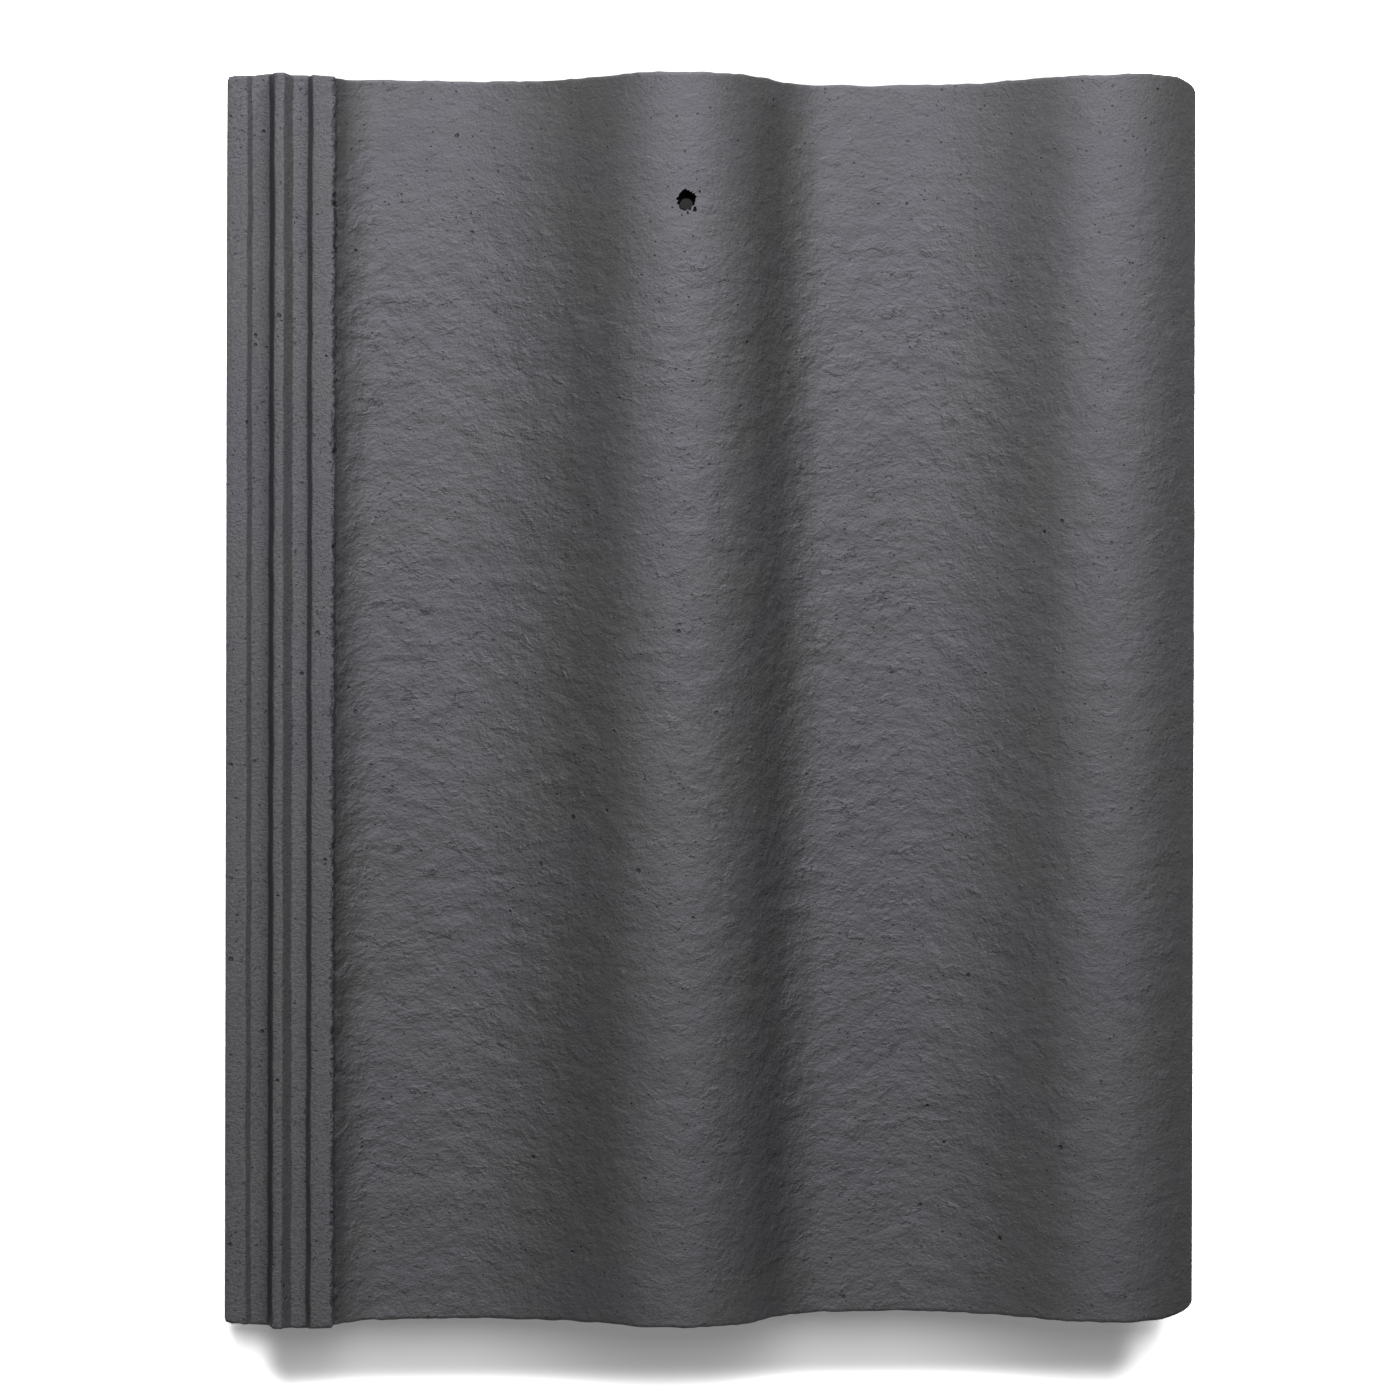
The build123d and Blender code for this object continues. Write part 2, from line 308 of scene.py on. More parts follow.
def wave_corners(sizes):
    """Corners of the weather face from the first pan to the edge of the cover roll, in millimetres."""
    height = sizes.roll_height / MM
    pitch = sizes.roll_pitch / MM
    rise = height / math.tan(RISE_ANGLE)
    fall = height / math.tan(FALL_ANGLE)
    places = [
        (RISE_START, 0.0), (RISE_START + rise, height), (FALL_END - fall, height), (FALL_END, 0.0)]
    roll = [(x, z, radius) for (x, z), radius in zip(places, ROLL_ROUNDING)]
    cover = [(x + pitch, z, radius) for x, z, radius in roll[:2]]
    shoulder_x, shoulder_rounding = COVER_SHOULDER
    edge = [
        (shoulder_x, height, shoulder_rounding),
        (sizes.width / MM, COVER_EDGE_Z, COVER_EDGE_ROUNDING),
    ]
    return roll + cover + edge


def section_outline(sizes):
    """Closed outline of the tile's section in millimetres, with columns at the ribs' and nibs' sides."""
    wave = wave_corners(sizes)
    under = [HAUNCH] + offset_corners([PAN_START] + wave[:-1], sizes.thickness / MM)
    corners = UNDERLOCK + [PAN_START] + wave + OVERLOCK + under[::-1] + UNDERLOCK_BOTTOM
    fine = rounded_outline(corners, sizes.column_spacing / MM)
    # The underside, which is smooth, is thinned to wider columns.
    low = [p for p in fine if UNDERSIDE_LEFT < p.x < UNDERSIDE_RIGHT
           and p.y < surface_height(fine, p.x) - SHELL_HALF]
    low.sort(key=lambda p: p.x)
    kept = {RIB_LEFT, RIB_RIGHT}
    for middle in (NIB_X, NIB_X + sizes.roll_pitch / MM):
        kept |= {middle - NIB_WIDTH / 2, middle + NIB_WIDTH / 2}
    count = math.ceil((UNDERSIDE_RIGHT - UNDERSIDE_LEFT) / UNDERSIDE_SPACING)
    even = [UNDERSIDE_LEFT + 1.0 + UNDERSIDE_SPACING * step for step in range(count)]
    kept |= {x for x in even
             if low[0].x < x < low[-1].x and min(abs(x - k) for k in kept) > UNDERSIDE_GAP}
    thinned = []
    for x in sorted(kept, reverse=True):
        ahead = next(i for i, p in enumerate(low) if p.x >= x)
        a, b = low[ahead - 1], low[ahead]
        thinned.append(Vector((x, a.y + (b.y - a.y) * (x - a.x) / (b.x - a.x))))
    outline = []
    low_ids = {id(p) for p in low}
    for point in fine:
        if id(point) not in low_ids:
            outline.append(point)
        elif thinned:
            outline.extend(thinned)
            thinned = []
    return outline


def surface_height(points, x):
    """Highest point of the outline above a place, in millimetres."""
    tops = []
    for a, b in zip(points, points[1:] + points[:1]):
        if min(a.x, b.x) <= x <= max(a.x, b.x) and a.x != b.x:
            tops.append(a.y + (b.y - a.y) * (x - a.x) / (b.x - a.x))
    return max(tops)


def select_in_mesh(mesh, kind, test):
    """Selects the polygons, edges or vertices that pass a test, for edit mode to work on."""
    for elements in (mesh.vertices, mesh.edges, mesh.polygons):
        elements.foreach_set("select", [False] * len(elements))
    for element in getattr(mesh, kind):
        if test(element):
            element.select = True
    bpy.context.tool_settings.mesh_select_mode = (
        kind == "vertices", kind == "edges", kind == "polygons")


def draw_section(outline, name):
    """Draws the closed section at the tail by extruding one vertex from point to point."""
    first = outline[0]
    bpy.ops.mesh.primitive_plane_add(size=MM, location=(first.x * MM, 0.0, first.y * MM))
    tile = bpy.context.object
    tile.name = name
    bpy.ops.object.transform_apply(location=True, rotation=True, scale=True)
    bpy.ops.object.mode_set(mode="EDIT")
    bpy.ops.mesh.select_all(action="SELECT")
    bpy.ops.mesh.merge(type="CENTER")
    for here, ahead in zip(outline, outline[1:]):
        step = (ahead - here) * MM
        bpy.ops.mesh.extrude_vertices_move(TRANSFORM_OT_translate={"value": (step.x, 0.0, step.y)})
    bpy.ops.object.mode_set(mode="OBJECT")
    ends = {0, len(outline) - 1}
    select_in_mesh(tile.data, "vertices", lambda v: v.index in ends)
    bpy.ops.object.mode_set(mode="EDIT")
    bpy.ops.mesh.edge_face_add()
    return tile


def extrude_rows(tile, sizes):
    """Extrudes the section to the head in spans that end at the ribs and nibs, then cuts them into rows."""
    length = sizes.length / MM
    rib_stops = [y for edges in RIB_EDGES for y in edges]
    stops = [0.0, *rib_stops, *OPEN_STOPS, NIB_BATTEN_Y, NIB_HEAD_Y, length]
    bpy.ops.mesh.select_all(action="SELECT")
    for low, high in zip(stops, stops[1:]):
        bpy.ops.mesh.extrude_region_move(
            TRANSFORM_OT_translate={"value": (0.0, (high - low) * MM, 0.0)})
    for low, high in zip(stops, stops[1:]):
        cuts = math.ceil((high - low) * MM / sizes.row_spacing) - 1
        bpy.ops.object.mode_set(mode="OBJECT")
        places = [v.co.y / MM for v in tile.data.vertices]

        def spans(edge):
            a, b = sorted(places[i] for i in edge.vertices)
            return abs(a - low) < SAME_PLACE and abs(b - high) < SAME_PLACE

        select_in_mesh(tile.data, "edges", spans)
        bpy.ops.object.mode_set(mode="EDIT")
        if cuts:
            bpy.ops.mesh.subdivide(number_cuts=cuts)
    bpy.ops.object.mode_set(mode="OBJECT")


def cap_ends(tile, sizes):
    """Fills both cut ends and draws their rims back, so that the cut edges are slightly blunt."""
    for y, inward in ((0.0, 1.0), (sizes.length, -1.0)):
        select_in_mesh(
            tile.data, "vertices", lambda v: abs(v.co.y - y) < SAME_PLACE * MM)
        bpy.ops.object.mode_set(mode="EDIT")
        bpy.ops.mesh.edge_face_add()
        bpy.ops.mesh.inset(thickness=RIM_WIDTH * MM, use_boundary=True)
        bpy.ops.object.mode_set(mode="OBJECT")
        cap = {i for p in tile.data.polygons if len(p.vertices) > 4 and abs(p.center.y - y) < MM
               for i in p.vertices}
        for vertex in tile.data.vertices:
            if abs(vertex.co.y - y) < SAME_PLACE * MM and vertex.index not in cap:
                vertex.co.y += inward * RIM_DEPTH * MM
    bpy.ops.object.mode_set(mode="EDIT")
    bpy.ops.mesh.select_all(action="SELECT")
    bpy.ops.mesh.normals_make_consistent(inside=False)
    bpy.ops.object.mode_set(mode="OBJECT")


def grow_ribs(tile):
    """Extrudes the tail's weather ribs down from the underside and rounds their feet."""
    for low, high in RIB_EDGES:
        def in_rib(face):
            x, y = face.center.x / MM, face.center.y / MM
            return low < y < high and RIB_LEFT < x < RIB_RIGHT and face.normal.z < FACES_DOWN

        select_in_mesh(tile.data, "polygons", in_rib)
        bpy.ops.object.mode_set(mode="EDIT")
        bpy.ops.mesh.extrude_region_shrink_fatten(
            TRANSFORM_OT_shrink_fatten={"value": RIB_DEPTH * MM})
        bpy.ops.mesh.region_to_loop()
        bpy.ops.mesh.bevel(offset=0.95 * RIB_BEVEL * MM, segments=2, clamp_overlap=True)
        bpy.ops.object.mode_set(mode="OBJECT")


def grow_nibs(tile, sizes):
    """Extrudes the two hanging nibs, tapered except on the batten side, with feet flat on the floor."""
    taper_y = (NIB_FOOT_HEAD_Y - NIB_BATTEN_Y) / (NIB_HEAD_Y - NIB_BATTEN_Y)
    foot_z = -(sizes.thickness + NIB_DEPTH * MM)
    for middle in (NIB_X, NIB_X + sizes.roll_pitch / MM):
        def in_nib(face):
            x, y = face.center.x / MM, face.center.y / MM
            return (NIB_BATTEN_Y < y < NIB_HEAD_Y and abs(x - middle) < NIB_WIDTH / 2
                    and face.normal.z < FACES_DOWN)

        select_in_mesh(tile.data, "polygons", in_nib)
        bpy.ops.object.mode_set(mode="EDIT")
        bpy.ops.mesh.extrude_region_move(
            TRANSFORM_OT_translate={"value": (0.0, 0.0, -NIB_DEPTH * MM)})
        bpy.ops.transform.resize(
            value=(NIB_FOOT_WIDTH / NIB_WIDTH, taper_y, 1.0),
            center_override=(middle * MM, NIB_BATTEN_Y * MM, 0.0))
        bpy.ops.object.mode_set(mode="OBJECT")
        for vertex in tile.data.vertices:
            if vertex.co.z < foot_z + 0.1 * MM:
                vertex.co.z = foot_z - (vertex.co.y - NIB_BATTEN_Y * MM) * math.tan(REST_TILT)

        def upright(edge):
            a, b = (tile.data.vertices[i].co / MM for i in edge.vertices)
            out_a, out_b = abs(a.x - middle), abs(b.x - middle)
            tapers = abs(out_a - out_b) > (NIB_WIDTH - NIB_FOOT_WIDTH) / 2 - 0.75
            at_side = tapers and out_a > NIB_FOOT_WIDTH / 2 - 0.5
            at_end = min(a.y, b.y) > NIB_FOOT_HEAD_Y - 0.1 or max(a.y, b.y) < NIB_BATTEN_Y + 0.1
            return abs(a.z - b.z) > NIB_DEPTH - 3.0 and at_side and at_end

        select_in_mesh(tile.data, "edges", upright)
        bpy.ops.object.mode_set(mode="EDIT")
        bpy.ops.mesh.bevel(offset=NIB_BEVEL * MM, segments=3, clamp_overlap=True)
        bpy.ops.object.mode_set(mode="OBJECT")


def lay_down_matrix(sizes):
    """The turn and shift that lay the drawn tile on the level floor with its middle over the origin."""
    low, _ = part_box("roof_tile")
    turn = Matrix.Rotation(REST_TILT, 4, "X")
    # The batten-side edge of a nib's foot lies on the floor.
    foot = turn @ Vector((0.0, NIB_BATTEN_Y * MM, -(sizes.thickness + NIB_DEPTH * MM)))
    top_tail = turn @ Vector((0.0, 0.0, sizes.roll_height))
    shift = Vector((low.x, low.y - top_tail.y, -foot.z))
    return Matrix.Translation(shift) @ turn


def ramp(value, start, run):
    """Rises from 0 at the start to 1 after the run, and stays within them."""
    return min(1.0, max(0.0, (value - start) / run))


def relief_amount(x, y, z, lean, sizes):
    """How strongly the drag wrinkles show at a place of the weather face.

    The lean is the sideways part of the normal there.
    """
    from_head = sizes.length / MM - y
    along = 0.42 + 0.58 * ramp(from_head, 12.0, 65.0)
    along *= 1.0 - 0.25 * ramp(70.0 - y, 0.0, 70.0)
    across = 1.0 - 0.3 * ramp(z, 12.0, 16.0)
    across *= 1.0 - 0.16 * ramp(x, 225.0, 40.0)
    falling = 1.0 + 0.5 * ramp(lean, 0.1, 0.4)
    off_lock = ramp(x, 36.0, 3.0)
    return 0.65 * along * across * falling * (0.12 + 0.88 * off_lock)


def mark_relief(tile, sizes):
    """Stores each vertex's relief amount as an attribute, and as a vertex group for the modifiers."""
    mesh = tile.data
    amounts = []
    for vertex in mesh.vertices:
        x, y, z = vertex.co / MM
        weather = vertex.normal.z > FACES_UP and z > -1.0
        amounts.append(relief_amount(x, y, z, vertex.normal.x, sizes) if weather else 0.0)
    group = tile.vertex_groups.new(name="relief")
    for index, amount in enumerate(amounts):
        if amount:
            group.add([index], amount, "REPLACE")
    mesh.attributes.new("wrinkles", "FLOAT", "POINT").data.foreach_set("value", amounts)


def displace(tile, name, scale, depth, strength, stretch):
    """Moves the weather face by a cloud pattern whose layers lean back like the wrinkles."""
    bpy.ops.object.empty_add(rotation=(-WRINKLE_LEAN, 0.0, 0.0), scale=stretch)
    space = bpy.context.object
    space.scale = stretch
    bpy.context.view_layer.objects.active = tile
    clouds = bpy.data.textures.new(name, "CLOUDS")
    clouds.noise_scale = scale
    clouds.noise_depth = depth
    modifier = tile.modifiers.new(name, "DISPLACE")
    modifier.texture = clouds
    modifier.texture_coords = "OBJECT"
    modifier.texture_coords_object = space
    modifier.vertex_group = "relief"
    modifier.mid_level = 0.5
    modifier.strength = strength
    bpy.ops.object.modifier_apply(modifier=name)
    bpy.data.objects.remove(space)
    bpy.data.textures.remove(clouds)


def crumble_lock(tile, sizes):
    """Makes the side lock's walls wander and notches the step beside the shoulder rib."""
    step = UNDERLOCK[-1][0]
    rough = [v.index for v in tile.data.vertices
             if v.co.x < (step + WANDER_PAST_STEP) * MM and v.co.z > WANDER_ABOVE * MM
             and v.normal.z > FACES_DOWN]
    for index in rough:
        vertex = tile.data.vertices[index]
        x, y, z = vertex.co / MM
        # Each pattern is divided by its size in millimetres; its last number keeps it apart from others.
        wander = WANDER * noise.noise(Vector((x / 5.0, y / 11.0, 2.3)))
        beside = max(0.0, 1.0 - abs(x - step) / NOTCH_REACH)
        notch = noise.noise(Vector((y / 1.9, z / 6.0, 9.1)))
        notch = min(0.0, notch + 0.4 * noise.noise(Vector((y / 5.5, z / 9.0, 4.7))))
        vertex.co.x += wander * MM * min(1.0, x / 4.0) + notch * beside * sizes.crumble


def along_line(points, x):
    """Height of a line through points at a place."""
    for (x0, low), (x1, high) in zip(points, points[1:]):
        if x <= x1:
            return low + (high - low) * max(0.0, x - x0) / (x1 - x0)
    return points[-1][1]


def ragged_ends(tile, sizes):
    """Rounds the plan corners, sets the cut ends out of square and makes them slightly ragged."""
    length = sizes.length / MM
    width = sizes.width / MM
    for vertex in tile.data.vertices:
        x, y, z = vertex.co / MM
        for at_head in (0, 1):
            away = length - y if at_head else y
            if away > END_FADE:
                continue
            inset = 0.0
            for at_right in (0, 1):
                reach, depth = PLAN_CORNERS[at_right, at_head]
                beside = min(1.0, 1.0 - (width - x if at_right else x) / reach)
                if beside > 0.0:
                    inset = depth * (1.0 - math.sqrt(1.0 - beside ** 2))
            inset += along_line(HEAD_WEAR if at_head else TAIL_WEAR, x)
            # Two patterns, 9 mm and a few millimetres in size, that differ from one end to the other.
            stray = noise.noise(Vector((x / 9.0, 3.7 + 11.0 * at_head, z / 9.0)))
            stray += 0.6 * noise.noise(Vector((x / 2.6, 8.1 + 5.0 * at_head, z / 5.0)))
            inset += stray * sizes.ragged / MM
            share = 1.0 - away / END_FADE
            if inset < 1.0:
                share **= 2
            y += inset * share * (-1.0 if at_head else 1.0)
        side = 2.0 * x / width - 1.0
        y += END_SKEW * side + sizes.end_bow / MM * side ** 2 * (2.0 * y / length - 1.0)
        vertex.co.y = y * MM
    # The two cut faces are the only ones with many corners. Short triangles let them bend evenly.
    select_in_mesh(tile.data, "polygons", lambda p: len(p.vertices) > 100)
    bpy.ops.object.mode_set(mode="EDIT")
    bpy.ops.mesh.quads_convert_to_tris(quad_method="BEAUTY", ngon_method="BEAUTY")
    bpy.ops.object.mode_set(mode="OBJECT")


def cut_nail_hole(tile, sizes):
    """Cuts the nail hole, which narrows and leans as it goes down, and the chips around its mouth."""
    start_fresh()
    top = sizes.roll_height / MM
    bpy.ops.mesh.primitive_cylinder_add(vertices=HOLE_SIDES, radius=MM, depth=CUTTER_LENGTH * MM)
    cutter = bpy.context.object
    heights = [v.co.z for v in cutter.data.vertices]
    select_in_mesh(
        cutter.data, "edges",
        lambda e: abs(heights[e.vertices[0]] - heights[e.vertices[1]]) > CUTTER_LENGTH / 2 * MM)
    bpy.ops.object.mode_set(mode="EDIT")
    bpy.ops.mesh.subdivide(number_cuts=HOLE_RINGS)
    bpy.ops.object.mode_set(mode="OBJECT")
    for vertex in cutter.data.vertices:
        angle = math.atan2(vertex.co.y, vertex.co.x)
        depth = CUTTER_LENGTH / 2 - CUTTER_ABOVE - vertex.co.z / MM
        down = min(1.0, max(0.0, depth / (sizes.thickness / MM)))
        radius = HOLE_MOUTH[2] + (HOLE_FOOT[2] - HOLE_MOUTH[2]) * down ** 0.6
        wobble = noise.noise(Vector((2.2 * math.cos(angle), 2.2 * math.sin(angle), depth * 0.7)))
        torn = noise.noise(Vector((7.0 * math.cos(angle), 7.0 * math.sin(angle), depth * 1.6)))
        radius *= 1.0 + 0.3 * wobble * (1.0 - 0.6 * down) + 0.3 * torn * (1.0 - down)
        middle = [a + (b - a) * down for a, b in zip(HOLE_MOUTH, HOLE_FOOT)]
        stretch = 1.0 + 0.15 * (1.0 - down)
        vertex.co = Vector((
            middle[0] + radius * math.cos(angle),
            sizes.length / MM - middle[1] + radius * stretch * math.sin(angle),
            top - depth,
        )) * MM
    parts = [cutter]
    for x, from_head, radius in HOLE_CHIPS:
        place = Vector((x, sizes.length / MM - from_head, top)) * MM
        bpy.ops.mesh.primitive_ico_sphere_add(subdivisions=2, radius=radius * MM, location=place)
        chip = bpy.context.object
        chip.scale = (0.8, 1.2, 1.0)
        bpy.ops.object.transform_apply(location=True, rotation=True, scale=True)
        parts.append(chip)
    start_fresh()
    # The cutters carry the near-black painted shade onto the hole's wall and chips.
    for part in parts:
        part.select_set(True)
        part.data.materials.append(bpy.data.materials[HOLE_SHADE])
    bpy.context.view_layer.objects.active = cutter
    bpy.ops.object.join()
    start_fresh()
    tile.select_set(True)
    bpy.context.view_layer.objects.active = tile
    modifier = tile.modifiers.new("nail hole", "BOOLEAN")
    modifier.operation = "DIFFERENCE"
    modifier.solver = "EXACT"
    modifier.material_mode = "TRANSFER"
    modifier.object = cutter
    bpy.ops.object.modifier_apply(modifier=modifier.name)
    bpy.data.objects.remove(cutter)


def add_node(tree, kind, inputs=None, **settings):
    """Adds a node with its settings and its inputs, which are values or the sockets of other nodes."""
    node = tree.nodes.new(kind)
    for name, value in settings.items():
        setattr(node, name, value)
    for key, value in (inputs or {}).items():
        socket = node.inputs[key]
        if isinstance(value, bpy.types.NodeSocket):
            tree.links.new(value, socket)
        else:
            socket.default_value = value
    return node


def math_node(tree, operation, a, b=0.0, clamp=False):
    """Output of a Math node; a and b are values or sockets."""
    return add_node(tree, "ShaderNodeMath", {0: a, 1: b}, operation=operation, use_clamp=clamp).outputs[0]


def total(tree, *values):
    """Adds up values and sockets."""
    result = values[0]
    for value in values[1:]:
        result = math_node(tree, "ADD", result, value)
    return result


def product(tree, *values):
    """Multiplies values and sockets."""
    result = values[0]
    for value in values[1:]:
        result = math_node(tree, "MULTIPLY", result, value)
    return result


def distance_from(tree, value, place):
    """How far a value is from a place, on either side of it."""
    return math_node(tree, "ABSOLUTE", math_node(tree, "SUBTRACT", value, place))


def map_range(tree, value, low, high, to_low=0.0, to_high=1.0):
    """A value between low and high carried smoothly over to another range."""
    node = add_node(
        tree, "ShaderNodeMapRange",
        {"Value": value, "From Min": low, "From Max": high, "To Min": to_low, "To Max": to_high},
        interpolation_type="SMOOTHSTEP")
    return node.outputs["Result"]


def noise_node(tree, vector, scale, detail, roughness, distortion=0.0):
    """Output of a Noise Texture between 0 and 1."""
    node = add_node(
        tree, "ShaderNodeTexNoise",
        {"Vector": vector, "Scale": scale, "Detail": detail, "Roughness": roughness,
         "Distortion": distortion})
    return node.outputs["Fac"]


def new_group(name, inputs, outputs):
    """Makes a shader node group; inputs are (name, default), outputs are names."""
    tree = bpy.data.node_groups.new(name, "ShaderNodeTree")
    tree.interface.new_socket("Vector", in_out="INPUT", socket_type="NodeSocketVector")
    for label, default in inputs:
        socket = tree.interface.new_socket(label, in_out="INPUT", socket_type="NodeSocketFloat")
        socket.default_value = default
    for label in outputs:
        tree.interface.new_socket(label, in_out="OUTPUT", socket_type="NodeSocketFloat")
    return tree, tree.nodes.new("NodeGroupInput").outputs, tree.nodes.new("NodeGroupOutput").inputs


def wrinkle_group():
    """Drag wrinkles: layered uneven lumps, with short torn lips across the tile that face its tail. It also
    gives out the lips' steep faces, for the coat to darken as painted shade.
    """
    tree, given, made = new_group("Drag Wrinkles", [("Depth", 0.0003)], ["Height", "Lips"])
    leaning = add_node(
        tree, "ShaderNodeMapping",
        {"Vector": given["Vector"], "Rotation": (-WRINKLE_LEAN, 0.0, 0.0), "Scale": (0.78, 1.0, 0.78)}
    ).outputs["Vector"]
    lumps = noise_node(tree, leaning, scale=125.0, detail=6.0, roughness=0.64)
    # A wavering saw pattern up the tile rises sharply at each lip and sinks slowly behind it.
    up_tile = add_node(tree, "ShaderNodeSeparateXYZ", {"Vector": leaning}).outputs["Y"]
    waver = noise_node(tree, leaning, scale=70.0, detail=7.0, roughness=0.72)
    waver = product(tree, waver, 4.0)
    saw = math_node(tree, "FRACT", total(tree, product(tree, up_tile, 150.0), waver))
    rise = math_node(tree, "DIVIDE", saw, 0.1)
    sink = math_node(tree, "DIVIDE", math_node(tree, "SUBTRACT", 1.0, saw), 0.9)
    lip = math_node(tree, "MINIMUM", rise, sink)
    torn = noise_node(tree, leaning, scale=170.0, detail=3.0, roughness=0.6)
    where = map_range(tree, torn, 0.54, 0.64)
    uneven = product(tree, math_node(tree, "SUBTRACT", lumps, 0.5), 1.85)
    height = total(tree, uneven, product(tree, lip, where, 0.25))
    tree.links.new(product(tree, height, given["Depth"]), made["Height"])
    # The steep face of each lip turns from the light at the head; it is given out for painted shade.
    face = map_range(tree, saw, 0.02, 0.13, 1.0, 0.0)
    tree.links.new(product(tree, face, where), made["Lips"])
    return tree


def crumb_group():
    """Patches of small irregular pits where crumbs have come off; a higher Amount gives more."""
    tree, given, made = new_group(
        "Crumb Pits", [("Amount", 0.0), ("Depth", 0.0003)], ["Height", "Pits"])
    fine = noise_node(tree, given["Vector"], scale=760.0, detail=2.5, roughness=0.6, distortion=0.4)
    patch = noise_node(tree, given["Vector"], scale=70.0, detail=3.0, roughness=0.6)
    patch = map_range(tree, patch, 0.4, 0.6, -0.05, 0.03)
    pits = map_range(tree, total(tree, fine, patch, given["Amount"]), 0.7, 0.76)
    tree.links.new(product(tree, pits, given["Depth"], -1.0), made["Height"])
    tree.links.new(pits, made["Pits"])
    return tree


def pore_group():
    """Scattered small round pores."""
    tree, given, made = new_group(
        "Concrete Pores", [("Scale", 300.0), ("Share", 0.1), ("Depth", 0.0002)], ["Height", "Pores"])
    cells = add_node(
        tree, "ShaderNodeTexVoronoi", {"Vector": given["Vector"], "Scale": given["Scale"]})
    chance = add_node(tree, "ShaderNodeSeparateColor", {"Color": cells.outputs["Color"]}).outputs[0]
    size = map_range(tree, chance, 0.0, given["Share"], 0.34, 0.0)
    inside = math_node(tree, "SUBTRACT", size, cells.outputs["Distance"])
    pores = math_node(tree, "MULTIPLY", inside, 9.0, clamp=True)
    tree.links.new(product(tree, pores, given["Depth"], -1.0), made["Height"])
    tree.links.new(pores, made["Pores"])
    return tree


def place_group(tree, group, inputs):
    """Places a node group with its inputs and gives its outputs."""
    node = tree.nodes.new("ShaderNodeGroup")
    node.node_tree = group
    for key, value in inputs.items():
        if isinstance(value, bpy.types.NodeSocket):
            tree.links.new(value, node.inputs[key])
        else:
            node.inputs[key].default_value = value
    return node.outputs


